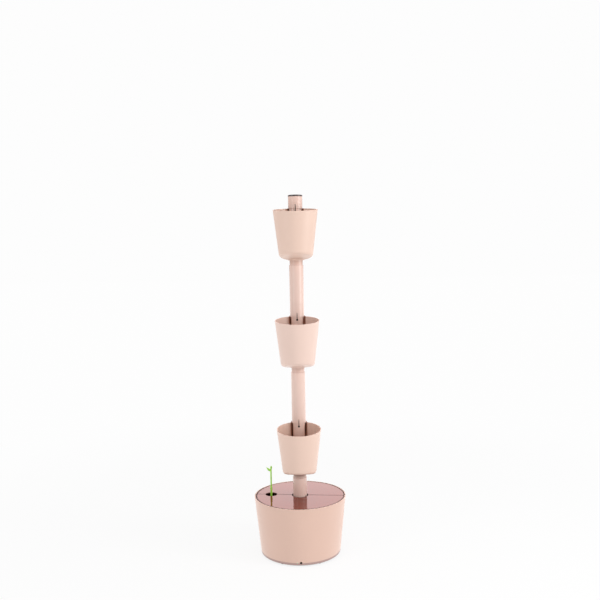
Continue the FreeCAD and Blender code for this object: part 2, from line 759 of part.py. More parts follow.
def boolean(kind, label, base, tool):
    """Cut or Fuse, with its faces left as they come, because merging them can spoil the solid."""
    result = doc.addObject("Part::" + kind, label)
    result.Base = base
    result.Tool = tool
    result.Refine = False
    return result


def upright(label, radius, low, high):
    """A cylinder on the mast's axis, with its seam at the back."""
    cylinder = doc.addObject("Part::Cylinder", label)
    cylinder.Placement.Rotation = FreeCAD.Rotation(FreeCAD.Vector(0, 0, 1), 90)
    bind(cylinder, "Radius", radius)
    bind(cylinder, "Height", "%s - (%s)" % (high, low))
    bind(cylinder, "Placement.Base.z", low)
    return cylinder


def rounded_off(label, thing, radius, choose):
    """Fillet the edges that the test picks."""
    doc.recompute()
    numbers = [number + 1 for number, edge in enumerate(thing.Shape.Edges) if choose(edge)]
    rounded = doc.addObject("Part::Fillet", label)
    rounded.Base = thing
    rounded.Edges = [(number, size(radius), size(radius)) for number in numbers]
    doc.recompute()
    return rounded


def cone_solid(label, inward, extra, below):
    """Leaning cone of the pot, moved inward by a wall, cut by its floor's plane and rounded."""
    length = "(pot_depth + 40)"
    cone = doc.addObject("Part::Cone", label + "_cone")
    slant = "(%s) / cos(pot_taper)" % inward
    bind(cone, "Radius2", "pot_radius - %s + (%s) * tan(pot_taper)" % (slant, extra))
    bind(cone, "Radius1", "pot_radius - %s - %s * tan(pot_taper)" % (slant, length))
    bind(cone, "Height", "%s + (%s)" % (length, extra))
    cone.Placement.Rotation = FreeCAD.Rotation(FreeCAD.Vector(1, 0, 0), 1)
    bind(cone, "Placement.Rotation.Angle", "pot_lean")
    # The rim's middle lies on the sloping rim plane through the mast's axis.
    bind(cone, "Placement.Base.y", "-pot_forward + %s * sin(pot_lean)" % length)
    bind(cone, "Placement.Base.z", "-pot_forward * tan(pot_lean) - %s * cos(pot_lean)" % length)
    trimmed = boolean("Cut", label + "_trimmed", cone, below)
    middle = -size("pot_depth") / 2

    def is_low(edge):
        return edge.BoundBox.ZMax < middle and edge.Length > size("pot_radius")

    return rounded_off(label + "_rounded", trimmed, "pot_corner - (%s)" % inward, is_low)


def floor_block(label, rise):
    """Everything below the plane of the pot's underside or floor, which is lower at the back."""
    block = tilted_block(label, "0", "-underside_slope")
    across = "3 * pot_radius * cos(underside_slope)"
    along = "3 * pot_radius * sin(underside_slope)"
    bind(block, "Placement.Base.y", "-%s - 2 * %s" % (across, along))
    bind(block, "Placement.Base.z", "%s - pot_depth + %s - 2 * %s" % (rise, along, across))
    return block


def pot(index, label):
    """Leaning pot: tapered wall, sloping floor, and at the back a niche round the column."""
    below = floor_block(label + "_below", "0")
    hull = cone_solid(label + "_hull", "0", "0", below)
    niche = upright(label + "_niche", "niche_radius", "niche_rise - pot_depth", "pot_depth")
    capped = boolean("Cut", label + "_capped", niche, tilted_block(label + "_above", "0", "pot_lean"))
    middle = -size("pot_depth") / 2

    def is_low(edge):
        return edge.BoundBox.ZMax < middle

    rounded = rounded_off(label + "_niche_rounded", capped, "niche_corner", is_low)
    outside = boolean("Fuse", label + "_outside", hull, rounded)
    room = cone_solid(label + "_room", "pot_wall", "4", floor_block(label + "_floor", "pot_floor"))
    boss = upright(label + "_boss", "niche_radius - 0.5", "-2 * pot_depth", BOSS_TOP)
    hollow = boolean("Cut", label + "_hollow", room, boss)
    slot = upright(label + "_slot", "niche_radius - niche_wall", BOSS_TOP, "pot_depth / 4")
    space = boolean("Fuse", label + "_space", hollow, slot)
    shell = boolean("Cut", label + "_shell", outside, space)
    passage = upright(label + "_passage", SPIGOT + " + turn_fit", "-2 * pot_depth", BOSS_TOP + " + 1")
    bored = boolean("Cut", label + "_bored", shell, passage)
    recess = upright(label + "_recess", "nut_radius + 0.5", "-2 * pot_depth", BOSS_TOP + " - boss_web")
    finished = boolean("Cut", label, bored, recess)
    finished.Label = label
    bind(finished, "Placement.Base.z", module_height(index))
    return keep(finished)


def pot_trim(index, name):
    """Seal, strainer ring round the column inside the pot, and the nut under the pot's boss."""
    seal = new_body("seal_" + name)
    revolve(seal, [
        (SPIGOT + " + slip_fit", BOSS_TOP),
        ("flange_radius", BOSS_TOP),
        ("flange_radius", FLANGE),
        (SPIGOT + " + slip_fit", FLANGE),
    ])
    strainer = new_body("strainer_" + name)
    strainer_top = STRAINER_FOOT + " + strainer_height"
    inner = SPIGOT + " + slip_fit"
    revolve(strainer, [
        (inner, STRAINER_FOOT),
        (inner + " + strainer_wall", STRAINER_FOOT),
        (inner + " + strainer_wall", strainer_top),
        (inner, strainer_top),
    ])
    slot = new_sketch(strainer, "XZ_Plane", "mast_radius + strainer_wall + 2")
    add_box(slot, "-strainer_slot / 2", STRAINER_FOOT + " + 3", "strainer_slot / 2", strainer_top + " - 3")
    cut = extrude(strainer, slot, "strainer_wall + 8", cut=True)
    repeat(strainer, cut, "strainer_slots")
    nut = new_body("nut_" + name)
    nut_top = BOSS_TOP + " - boss_web"
    revolve(nut, [
        (SPIGOT + " + press_fit", nut_top + " - nut_height"),
        ("nut_radius - 0.6", nut_top + " - nut_height"),
        ("nut_radius", nut_top + " - nut_height + 0.6"),
        ("nut_radius", nut_top),
        (SPIGOT + " + press_fit", nut_top),
    ])
    notch = new_sketch(nut, "XY_Plane", nut_top + " - nut_height")
    middle = SPIGOT + " + 1.5"
    add_box(notch, "-nut_notch / 2", middle, "nut_notch / 2", "nut_radius + 2")
    cut = extrude(nut, notch, "nut_height / 2", cut=True, reverse=True)
    repeat(nut, cut, "4")
    for body in (seal, strainer, nut):
        place(body, up=module_height(index))
        keep(body)


def riser_guide(index, label):
    """Spoked ring that keeps the riser in the middle of a column."""
    body = new_body(label)
    low = "-pot_depth / 2"
    high = low + " + guide_height"
    hub = "(%s + turn_fit)" % RISER_RADIUS
    outer = "(%s - press_fit)" % SPIGOT_BORE
    revolve(body, [(hub, low), (hub + " + guide_rim", low), (hub + " + guide_rim", high), (hub, high)])
    spoke = new_sketch(body, "XY_Plane", low)
    inner_end = hub + " + guide_rim / 2"
    outer_end = outer + " - guide_rim / 2"
    add_box(spoke, "-guide_spoke / 2", inner_end, "guide_spoke / 2", outer_end)
    repeat(body, extrude(body, spoke, "guide_height"), "guide_spokes")
    rim = new_sketch(body, "XY_Plane", low)
    add_circle(rim, "0", "0", outer)
    add_circle(rim, "0", "0", outer + " - guide_rim")
    extrude(body, rim, "guide_height")
    place(body, up=module_height(index))
    return keep(body)


def emitter():
    """Water outlet seated in the top column: the riser ends in it, and holes spread the water."""
    body = new_body("emitter")
    bore = RISER_RADIUS + " + turn_fit"
    outer = MAST_BORE + " - slip_fit"
    top = EMITTER_SEAT + " + emitter_height"
    bore_end = EMITTER_SEAT + " + emitter_height / 2 + 1"
    revolve(body, [
        (bore, EMITTER_SEAT),
        (outer, EMITTER_SEAT),
        (outer, top + " - 2"),
        (outer + " - 2", top),
        ("0", top),
        ("0", bore_end),
        (bore, bore_end),
    ])
    hole = new_sketch(body, "XY_Plane", EMITTER_SEAT)
    add_circle(hole, "(%s + %s) / 2" % (RISER_RADIUS, MAST_BORE), "0", "emitter_hole")
    drilled = extrude(body, hole, "emitter_height", cut=True, reverse=True)
    repeat(body, drilled, "8")
    place(body, up=module_height(2))
    return keep(body)


def top_cap():
    """Dark cap plugged into the top column."""
    body = new_body("top_cap")
    edge = "(mast_radius - cap_inset)"
    revolve(body, [
        (MAST_BORE + " - spigot_fit - cap_wall", "-cap_plug"),
        (MAST_BORE + " - spigot_fit", "-cap_plug"),
        (MAST_BORE + " - spigot_fit", "seat_gap"),
        (edge, "seat_gap"),
        (edge, "cap_height - cap_dome - 0.8"),
        (edge + " - 2", "cap_height - cap_dome"),
        (edge + " / 2", "cap_height - cap_dome * 0.25"),
        ("0", "cap_height"),
        ("0", "0"),
        (MAST_BORE + " - spigot_fit - cap_wall", "0"),
    ])
    place(body, up=module_height(2) + " + column_rise")
    return keep(body)


def indicator():
    """Water level indicator: slotted guide tube, float, rod and the sprout that shows the level."""
    guide = new_body("float_guide")
    revolve(guide, [
        ("guide_radius - guide_wall", "water_floor"),
        ("guide_flange", "water_floor"),
        ("guide_flange", "water_floor + 3"),
        ("guide_radius", "water_floor + 3"),
        ("guide_radius", "guide_top"),
        ("rod_radius + rod_fit", "guide_top"),
        ("rod_radius + rod_fit", "guide_top - 3"),
        ("guide_radius - guide_wall", "guide_top - 3"),
    ])
    slot = new_sketch(guide, "XZ_Plane", "guide_radius + 2")
    add_box(slot, "-3", "water_floor + 8", "3", "guide_top - 20")
    cut = extrude(guide, slot, "guide_wall + 6", cut=True)
    repeat(guide, cut, "3")
    bottom = "water_floor + float_lift"
    bob = new_body("level_float")
    revolve(bob, [
        ("rod_radius + press_fit", bottom),
        ("float_radius - 3", bottom),
        ("float_radius", bottom + " + 3"),
        ("float_radius", bottom + " + float_height - 3"),
        ("float_radius - 3", bottom + " + float_height"),
        ("rod_radius + press_fit", bottom + " + float_height"),
    ])
    rod = new_body("float_rod")
    revolve(rod, [
        ("0", bottom),
        ("rod_radius", bottom),
        ("rod_radius", "rod_top - 3"),
        ("stem_radius + 0.6", "rod_top"),
        ("stem_radius + press_fit", "rod_top"),
        ("stem_radius + press_fit", "rod_top - stem_plug"),
        ("0", "rod_top - stem_plug"),
    ])
    sprout = new_body("sprout")
    revolve(sprout, [
        ("0", "rod_top - stem_plug"),
        ("stem_radius", "rod_top - stem_plug"),
        ("stem_radius", "stem_top - 2"),
        ("stem_radius - 1", "stem_top"),
        ("0", "stem_top"),
    ])
    leaf = new_sketch(sprout, "XZ_Plane", "leaf_thickness / 2")
    foot = ("0", "stem_top - leaf_rise")
    tip = ("-leaf_reach", "stem_top")
    add_arc(leaf, foot, tip, "leaf_over")
    add_arc(leaf, tip, foot, "leaf_under")
    extrude(sprout, leaf, "leaf_thickness", reverse=True)
    across = "-fill_offset * cos(lid_turn)"
    along = "-fill_offset * sin(lid_turn)"
    for body in (guide, bob, rod, sprout):
        place(body, across, along)
        keep(body)


base_tank()
bottom_plate()
foot_ring()
rubber_feet()
screw_set("base_screws", "screw_count", "screw_circle", "skirt_height", "screw_length", True)
control_box()
power_inlet()
lid_half("front_lid_half", -1)
lid_half("rear_lid_half", 1)
mast_socket()
screw_set("socket_screws", "window_count", "socket_circle", "water_floor + socket_base",
          "socket_screw_length", False)
lead_gland()
pump_parts()
riser_pipe()
lower_tube()
upper_tubes()
for number, name in enumerate(("low", "middle", "top")):
    pot(number, "pot_" + name)
    column(number, "column_" + name)
    pot_trim(number, name)
riser_guide(0, "riser_guide_low")
riser_guide(1, "riser_guide_middle")
emitter()
top_cap()
indicator()

doc.recompute()
for item in doc.Objects:
    if "Invalid" in item.State or "Error" in item.State:
        raise RuntimeError("%s failed: %s" % (item.Label, item.State))
for item in pieces:
    if item.Shape.isNull() or not item.Shape.isValid():
        raise RuntimeError("%s has no valid shape" % item.Label)

os.makedirs("parts", exist_ok=True)
for item in pieces:
    item.Shape.exportStep("parts/%s.step" % item.Label)
    box = item.Shape.BoundBox
    print("%-20s %9.1f mm3  z %7.1f to %7.1f" % (item.Label, item.Shape.Volume, box.ZMin, box.ZMax))
print("%d sub-parts" % len(pieces))
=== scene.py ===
import json
import math

import bpy
from mathutils import Matrix, Vector


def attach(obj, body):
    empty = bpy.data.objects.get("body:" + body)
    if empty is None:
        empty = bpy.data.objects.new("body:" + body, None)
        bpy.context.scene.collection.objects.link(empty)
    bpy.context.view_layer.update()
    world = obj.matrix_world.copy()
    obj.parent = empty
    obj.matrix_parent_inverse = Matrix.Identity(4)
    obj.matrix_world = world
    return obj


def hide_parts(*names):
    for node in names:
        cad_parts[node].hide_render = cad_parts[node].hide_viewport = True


# Self-watering planter tower: round water tank with a lid in two halves, three leaning pots on a
# mast of plug-together tubes, and a sprout that shows the water level. Metres, +Z up. The mast's
# axis is Z, and the pots lean to the front, -Y.

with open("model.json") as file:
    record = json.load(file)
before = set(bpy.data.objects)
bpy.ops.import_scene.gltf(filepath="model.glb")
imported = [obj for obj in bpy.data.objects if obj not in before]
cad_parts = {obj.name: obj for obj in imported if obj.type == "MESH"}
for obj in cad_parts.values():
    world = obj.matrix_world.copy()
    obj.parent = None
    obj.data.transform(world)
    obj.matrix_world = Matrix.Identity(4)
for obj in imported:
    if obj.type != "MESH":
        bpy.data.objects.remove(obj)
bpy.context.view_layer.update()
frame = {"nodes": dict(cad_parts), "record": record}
NODES = frame["nodes"]


def srgb(red, green, blue):
    """Linear colour from screen values of 0 to 255."""
    values = [channel / 255 for channel in (red, green, blue)]
    return [v / 12.92 if v < 0.04045 else ((v + 0.055) / 1.055) ** 2.4 for v in values] + [1.0]


def shade(colour, factor):
    """The colour, lighter or darker by a factor."""
    return [min(1.0, channel * factor) for channel in colour[:3]] + [1.0]


def tinted(colour, tint):
    """The colour times a tint, channel by channel."""
    return [channel * share for channel, share in zip(colour, tint)] + [1.0]


# Features per metre of the slow clouds of colour, the patches of gloss and the fine grain
CLOUDS = 9.0
PATCHES = 60.0
GRAIN = 1400.0
# How much the clouds change the colour, and the patches the roughness
CLOUD_CHANGE = 0.03
PATCH_CHANGE = 0.04
# The middle range of a noise, which the patches of gloss use
NOISE_RANGE = (0.3, 0.7)
# Depth of the grain on satin and on glossy plastic
SATIN_DEPTH = 0.00004
GLOSS_DEPTH = 0.00002
# Fine rings of turned metal: features per metre, and their stretch, depth and two shades
RINGS = 900.0
RINGS_STRETCH = (0.05, 0.05, 1.0)
RINGS_DEPTH = 0.00003
RINGS_SHADES = (0.9, 1.05)


class Tree:
    """Helpers that add nodes to the node tree of a material or a world."""

    def __init__(self, owner):
        owner.use_nodes = True
        self.tree = owner.node_tree

    def node(self, kind, **settings):
        made = self.tree.nodes.new(kind)
        for name, value in settings.items():
            setattr(made, name, value)
        return made

    def feed(self, value, socket):
        """Link an output to the socket, or set a plain value there."""
        if hasattr(value, "is_output"):
            self.tree.links.new(value, socket)
        else:
            socket.default_value = value

    def axes(self, vector):
        """X, Y and Z of a vector."""
        parts = self.node("ShaderNodeSeparateXYZ")
        self.feed(vector, parts.inputs[0])
        return parts.outputs

    def maths(self, operation, *values):
        made = self.node("ShaderNodeMath", operation=operation)
        for value, socket in zip(values, made.inputs):
            self.feed(value, socket)
        return made.outputs[0]

    def product(self, first, *others):
        for other in others:
            first = self.maths("MULTIPLY", first, other)
        return first

    def distance(self, aside, along):
        """Length of the straight line that goes so far aside and so far along."""
        return self.maths("SQRT", self.maths("ADD", self.product(aside, aside), self.product(along, along)))

    def ramp(self, source, start, end, low=0.0, high=1.0, shape="SMOOTHSTEP"):
        """Change from low, where the source is start, to high, where it is end."""
        ranged = self.node("ShaderNodeMapRange", interpolation_type=shape)
        for name, value in (("From Min", start), ("From Max", end), ("To Min", low), ("To Max", high)):
            ranged.inputs[name].default_value = value
        self.feed(source, ranged.inputs["Value"])
        return ranged.outputs["Result"]

    def blend(self, factor, first, second):
        """A shader between two shaders."""
        mixed = self.node("ShaderNodeMixShader")
        for value, socket in zip((factor, first, second), mixed.inputs):
            self.feed(value, socket)
        return mixed.outputs[0]


class Surface(Tree):
    """A material with a Principled shader, whose noises and tones keep to the object's own space."""

    def __init__(self, name, roughness, specular=0.5, ior=1.5):
        self.material = bpy.data.materials.new(name)
        super().__init__(self.material)
        self.roughness = roughness
        self.shader = self.tree.nodes["Principled BSDF"]
        for socket, value in (("Roughness", roughness), ("Specular IOR Level", specular), ("IOR", ior)):
            self.shader.inputs[socket].default_value = value
        self.spaces = self.node("ShaderNodeTexCoord").outputs

    def place(self):
        """X, Y and Z of the place on the surface."""
        return self.axes(self.spaces["Object"])

    def facing(self):
        """X, Y and Z of the direction that the surface faces."""
        return self.axes(self.spaces["Normal"])

    def across(self):
        """Distance from the mast's axis."""
        return self.distance(*self.place()[:2])

    def outward(self):
        """How far the surface faces away from the mast's axis, times its distance from it."""
        x, y = self.place()[:2]
        to_x, to_y = self.facing()[:2]
        return self.maths("ADD", self.product(x, to_x), self.product(y, to_y))

    def noise(self, scale, detail=2.0, stretch=(1, 1, 1)):
        """Noise with features of about 1 / scale metres."""
        mapping = self.node("ShaderNodeMapping")
        mapping.inputs["Scale"].default_value = stretch
        self.feed(self.spaces["Object"], mapping.inputs["Vector"])
        noise = self.node("ShaderNodeTexNoise")
        noise.inputs["Scale"].default_value = scale
        noise.inputs["Detail"].default_value = detail
        self.feed(mapping.outputs["Vector"], noise.inputs["Vector"])
        return noise.outputs["Fac"]

    def mix(self, factor, first, second):
        """A colour between two colours."""
        mixed = self.node("ShaderNodeMix", data_type="RGBA")
        for name, value in (("Factor", factor), ("A", first), ("B", second)):
            self.feed(value, mixed.inputs[name])
        return mixed.outputs["Result"]

    def clouded(self, colour, change=CLOUD_CHANGE):
        """The colour with slow clouds."""
        return self.mix(self.noise(CLOUDS, 3.0), shade(colour, 1 - change), shade(colour, 1 + change))

    def colour(self, source):
        self.feed(source, self.shader.inputs["Base Color"])

    def relief(self, source, depth):
        bump = self.node("ShaderNodeBump")
        bump.inputs["Distance"].default_value = depth
        self.feed(source, bump.inputs["Height"])
        self.feed(bump.outputs["Normal"], self.shader.inputs["Normal"])

    def finished(self, colour, grain=GRAIN, depth=SATIN_DEPTH):
        """The material with its colour, patches of gloss, and a fine grain in relief."""
        self.colour(colour)
        glossiest, dullest = self.roughness - PATCH_CHANGE, self.roughness + PATCH_CHANGE
        patches = self.ramp(self.noise(PATCHES), *NOISE_RANGE, glossiest, dullest, "LINEAR")
        self.feed(patches, self.shader.inputs["Roughness"])
        self.relief(self.noise(grain), depth)
        return self.material


def moulded(name, colour, roughness, grain=GRAIN, depth=SATIN_DEPTH, change=CLOUD_CHANGE, **settings):
    """Moulded plastic of one colour."""
    surface = Surface(name, roughness, **settings)
    return surface.finished(surface.clouded(colour, change), grain, depth)


def brushed(name, colour, roughness):
    """Turned metal, with fine rings in its finish."""
    surface = Surface(name, roughness)
    surface.shader.inputs["Metallic"].default_value = 1.0
    rings = surface.noise(RINGS, stretch=RINGS_STRETCH)
    surface.colour(surface.mix(rings, *[shade(colour, factor) for factor in RINGS_SHADES]))
    surface.relief(rings, RINGS_DEPTH)
    return surface.material


POT_COLOUR = srgb(224, 196, 182)
MAST_COLOUR = srgb(226, 197, 185)
TANK_COLOUR = srgb(216, 182, 166)
# Painted shade in the gap between column and pot
GAP_SHADE = srgb(150, 100, 78)
# Painted deep shade inside the column, round its keyhole and along its slit
INSIDE_SHADE = srgb(20, 14, 12)
# Tints of painted shade on the pots' underside near the mast, and on the tank's lower edge
UNDERSIDE_SHADE = (0.80, 0.72, 0.68)
TANK_EDGE_SHADE = (0.58, 0.56, 0.62)
# For each pot: its rim's height, the tube below it, the tint of the painted shade on the neck under it,
# and the tint of its plastic's colour
LEVELS = {
    "low": (0.510, "lower_tube", (0.36, 0.28, 0.24), (0.99, 0.97, 0.95)),
    "middle": (0.921, "middle_tube", (0.82, 0.76, 0.74), (1.0, 1.01, 1.03)),
    "top": (1.332, "upper_tube", (0.82, 0.75, 0.71), (0.96, 0.945, 0.92)),
}

# Each pair says where a painted shade starts and where it is full. First come heights above a pot's
# rim: of the neck's two ends, and of the gap between column and pot at its foot and its mouth.
NECK_FOOT = (-0.223, -0.199)
NECK_HEAD = (-0.190, -0.195)
GAP_FOOT = (-0.175, -0.165)
GAP_MOUTH = (0.002, -0.012)
# The slit's painted dark line of shade, from the keyhole's middle up
KEYHOLE = -0.012
SLIT_FOOT = (KEYHOLE - 0.0005, KEYHOLE)
SLIT_HEAD = (0.0155, 0.015)
# Distances from the middle of the column's front, or from the keyhole's middle
GAP_ASIDE = (0.0185, 0.0245)
SLIT_ASIDE = (0.0017, 0.0011)
KEYHOLE_RING = (0.0042, 0.0036)
# Y at the column's front, and distance from the mast's axis inside the column
COLUMN_FRONT = (-0.015, -0.02)
COLUMN_INSIDE = (0.0247, 0.0243)
# Distances from the mast's axis at the pot's niche round the column, and on its underside
NICHE = (0.0334, 0.0326)
UNDERSIDE_REACH = (0.09, 0.03)
# What outward() gives on the niche's inner side, and the Z that the underside faces
FACING_IN = (0.012, 0.006)
FACING_DOWN = (-0.6, -0.9)
# Height of the painted shade at the tank's lower edge
TANK_FOOT = (0.0165, 0.0135)


def mast_plastic(name, rim, neck):
    """The plastic of a column or of the tube below it. It has painted shade at the neck under the
    pot and in the gap between column and pot, and painted deep shade inside the column, at the
    keyhole and along the slit."""
    surface = Surface(name, 0.22)
    x, y, z = surface.place()
    height = surface.maths("SUBTRACT", z, rim)
    aside = surface.maths("ABSOLUTE", x)
    # Painted shade on the neck under the pot
    neck_shade_mask = surface.product(surface.ramp(height, *NECK_FOOT), surface.ramp(height, *NECK_HEAD))
    tone = surface.mix(neck_shade_mask, surface.clouded(MAST_COLOUR), tinted(MAST_COLOUR, neck))
    # Painted shade in the gap between column and pot
    gap = surface.product(surface.ramp(height, *GAP_FOOT), surface.ramp(height, *GAP_MOUTH),
                          surface.ramp(aside, *GAP_ASIDE))
    tone = surface.mix(gap, tone, GAP_SHADE)
    # Painted deep shade along the slit and round the keyhole, on the column's front
    slit = surface.product(surface.ramp(height, *SLIT_FOOT), surface.ramp(height, *SLIT_HEAD),
                           surface.ramp(aside, *SLIT_ASIDE))
    from_keyhole = surface.distance(x, surface.maths("SUBTRACT", height, KEYHOLE))
    opening_shade = surface.maths("MAXIMUM", slit, surface.ramp(from_keyhole, *KEYHOLE_RING))
    tone = surface.mix(surface.product(surface.ramp(y, *COLUMN_FRONT), opening_shade), tone, INSIDE_SHADE)
    # Painted deep shade inside the column
    tone = surface.mix(surface.ramp(surface.across(), *COLUMN_INSIDE), tone, INSIDE_SHADE)
    return surface.finished(tone, depth=GLOSS_DEPTH)


def pot_plastic(name, rim, tint):
    """A pot's plastic, with painted shade on the niche's inner side and on the underside near the mast."""
    colour = tinted(POT_COLOUR, tint)
    surface = Surface(name, 0.42)
    height = surface.maths("SUBTRACT", surface.place()[2], rim)
    across = surface.across()
    # Painted shade on the underside near the mast
    beneath_shade = surface.product(surface.ramp(across, *UNDERSIDE_REACH),
                              surface.ramp(surface.facing()[2], *FACING_DOWN))
    tone = surface.mix(beneath_shade, surface.clouded(colour), tinted(colour, UNDERSIDE_SHADE))
    # Painted shade on the niche's inner side, in the gap round the column
    gap = surface.product(surface.ramp(across, *NICHE), surface.ramp(height, *GAP_FOOT),
                          surface.ramp(surface.outward(), *FACING_IN))
    return surface.finished(surface.mix(gap, tone, GAP_SHADE))


def tank_plastic():
    """The tank's plastic, with painted shade round its lower edge."""
    surface = Surface("tank_satin", 0.36)
    # Painted shade round the lower edge
    edge = surface.ramp(surface.place()[2], *TANK_FOOT)
    return surface.finished(surface.mix(edge, surface.clouded(TANK_COLOUR), tinted(TANK_COLOUR, TANK_EDGE_SHADE)))


LID = moulded("lid_gloss", srgb(122, 46, 26), 0.04, grain=500.0, depth=0.000005, ior=1.33)
# Dark edge of the lid: partly the tinted sheet's own dark edge, partly painted shadow of the gap between
# lid and tank rim
LID_EDGE_AND_SHADE = moulded("lid_edge_and_shade", srgb(64, 28, 20), 0.35, specular=0.1)
CAP = moulded("cap_dark", srgb(40, 34, 33), 0.3)
SPROUT = moulded("sprout_green", srgb(166, 226, 84), 0.4, change=0.08)

# Finish of each material slot of the record. The pots and the mast's pieces have their own.
FINISHES = {
    "tank_plastic": tank_plastic(),
    "lid_plastic": LID,
    "cap_plastic": CAP,
    "sprout_plastic": SPROUT,
    "dark_plastic": moulded("foot_dark", srgb(70, 64, 62), 0.6),
    "black_plastic": moulded("black_plastic", srgb(18, 16, 16), 0.5),
    "grey_plastic": moulded("grey_plastic", srgb(150, 148, 145), 0.5),
    # Black riser pipe, whose dark also stands in for the shade seen through the keyhole
    "riser_plastic": moulded("riser_plastic", srgb(38, 36, 35), 0.45),
    "rubber": moulded("rubber", srgb(35, 34, 34), 0.75, grain=2200.0),
    "float_plastic": moulded("float_foam", srgb(238, 238, 232), 0.8, grain=900.0, depth=0.00015),
    "light_lens": moulded("light_lens", srgb(190, 225, 190), 0.15),
    "screw_steel": brushed("screw_steel", srgb(190, 190, 192), 0.3),
    "brass": brushed("brass", srgb(212, 175, 105), 0.3),
}


def dress_nodes():
    """Give each CAD node its own finish, or else that of its material slot."""
    own = {}
    for level, (rim, tube, neck, tint) in LEVELS.items():
        own["pot_" + level] = pot_plastic("pot_" + level + "_plastic", rim, tint)
        for piece in ("column_" + level, tube):
            own[piece] = mast_plastic(piece + "_plastic", rim, neck)
    for entry in frame["record"]["subparts"]:
        finish = own.get(entry["node"]) or FINISHES[entry["material_slot"]]
        for slot in NODES[entry["node"]].material_slots:
            slot.material = finish


dress_nodes()

# Edges that bend more than this stay sharp
SHARP_ANGLE = math.radians(50)


def add_piece(name, points, faces, material, node, body, flat=()):
    """A mesh piece that stands for a node and rides on its body. The faces named flat aren't smooth."""
    mesh = bpy.data.meshes.new(name)
    mesh.from_pydata([tuple(point) for point in points], [], faces)
    mesh.validate()
    mesh.set_sharp_from_angle(angle=SHARP_ANGLE)
    for face in mesh.polygons:
        face.use_smooth = face.index not in flat
    mesh.materials.append(material)
    piece = bpy.data.objects.new(name, mesh)
    bpy.context.scene.collection.objects.link(piece)
    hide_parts(node)
    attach(piece, body)
    return piece


def strips(rings, count):
    """Quads between closed rings of equal counts of points."""
    faces = []
    for ring in range(rings - 1):
        for step in range(count):
            here = ring * count + step
            beside = ring * count + (step + 1) % count
            faces.append((here, beside, beside + count, here + count))
    return faces


def end_faces(points, count):
    """One face on the last ring of points and one on the first."""
    return [tuple(range(len(points) - count, len(points))), tuple(reversed(range(count)))]


# Lid
LID_RADIUS = 0.1719
LID_TOP = 0.223
LID_BOTTOM = 0.219
LID_TURN = math.radians(-5.8)
SEAM_HALF = 0.0005
NOTCH_RADIUS = 0.0305
FILL_RADIUS = 0.0215
FILL_OFFSET = 0.113
# Rounded edge: how far each ring stands in from the edge, and how far below the top
LID_EDGE = ((0.0, 0.0016), (0.0005, 0.0009), (0.0014, 0.0004), (0.0027, 0.0001), (0.0042, 0.0))
# Against that distance at the rim: the distance at the seam and at the holes, and how far each
# ring of the rim lies to the right and back, which makes the dark edge widest at the front left,
# where it is painted shadow of the gap between lid and rim
SEAM_SHARE = 0.28
HOLE_SHARE = 0.46
RIGHT_SHARE = 0.12
BACK_SHARE = 0.3
RIM_STEPS = 150
HOLE_STEPS = 40


def half_outline(side, inset):
    """Outline of a lid half at a distance inside its edge: rim, filling hole and mast's notch."""
    def arc(centre, radius, first, last, count):
        turns = [first + (last - first) * step / count for step in range(count + 1)]
        return [(centre + radius * math.cos(turn), side * radius * math.sin(turn)) for turn in turns]

    line = SEAM_HALF + inset * SEAM_SHARE
    outer = LID_RADIUS - inset
    right, back = inset * RIGHT_SHARE, inset * BACK_SHARE
    start = math.asin((line - side * back) / outer)
    points = [(x, y + back) for x, y in arc(right, outer, start, math.pi - start, RIM_STEPS)]
    for centre, radius in ((-FILL_OFFSET, FILL_RADIUS), (0, NOTCH_RADIUS)):
        radius += inset * HOLE_SHARE
        start = math.asin(line / radius)
        points += arc(centre, radius, math.pi - start, start, HOLE_STEPS)
    return points


def lid_half(name, side, node, body):
    """The half of the lid behind the seam, side 1, or before it, side -1. All but its top and
    bottom has the dark edge finish: the tinted sheet's own dark edge, and painted shadow of the gap round
    the lid."""
    rings = [(0.0, LID_BOTTOM)] + [(inset, LID_TOP - drop) for inset, drop in LID_EDGE]
    outlines = [[(x, y, height) for x, y in half_outline(side, inset)] for inset, height in rings]
    count = len(outlines[0])
    turn = Matrix.Rotation(LID_TURN, 3, "Z")
    points = [turn @ Vector(point) for outline in outlines for point in outline]
    faces = strips(len(rings), count)
    top = len(faces)
    faces += end_faces(points, count)
    if side < 0:
        faces = [tuple(reversed(face)) for face in faces]
    piece = add_piece(name, points, faces, LID, node, body, flat=(top, top + 1))
    piece.data.materials.append(LID_EDGE_AND_SHADE)
    for face in piece.data.polygons[:top]:
        face.material_index = 1


lid_half("front_lid", -1, "front_lid_half", "front_lid")
lid_half("rear_lid", 1, "rear_lid_half", "rear_lid")

# Cap: radius and height above the top column's end, from inside its plug up over its skirt, in mm
COLUMN_END = 1.380
CAP_PROFILE = ((22.9, 0), (22.9, -14), (24.7, -14), (24.85, -13.6), (24.85, 0.05), (27.1, 0.05),
               (27.1, -2.9), (27.25, -3.1), (27.5, -3.0), (27.6, -2.7), (27.6, 1.5), (27.4, 2.1),
               (26.8, 2.6), (25.4, 2.9), (14, 3.2), (0, 3.3))
CAP_STEPS = 96


def cap():
    """The cap, turned about the mast's axis and closed at the last point of its profile."""
    *rings, (_, peak) = CAP_PROFILE
    points = []
    for radius, rise in rings:
        for step in range(CAP_STEPS):
            turn = 2 * math.pi * step / CAP_STEPS
            points.append((radius / 1000 * math.cos(turn), radius / 1000 * math.sin(turn),
                           COLUMN_END + rise / 1000))
    faces = strips(len(rings), CAP_STEPS)
    last = len(points) - CAP_STEPS
    faces += [(last + step, last + (step + 1) % CAP_STEPS, len(points)) for step in range(CAP_STEPS)]
    faces.append(tuple(reversed(range(CAP_STEPS))))
    points.append((0, 0, COLUMN_END + peak / 1000))
    add_piece("cap", points, faces, CAP, "top_cap", "cap")


cap()

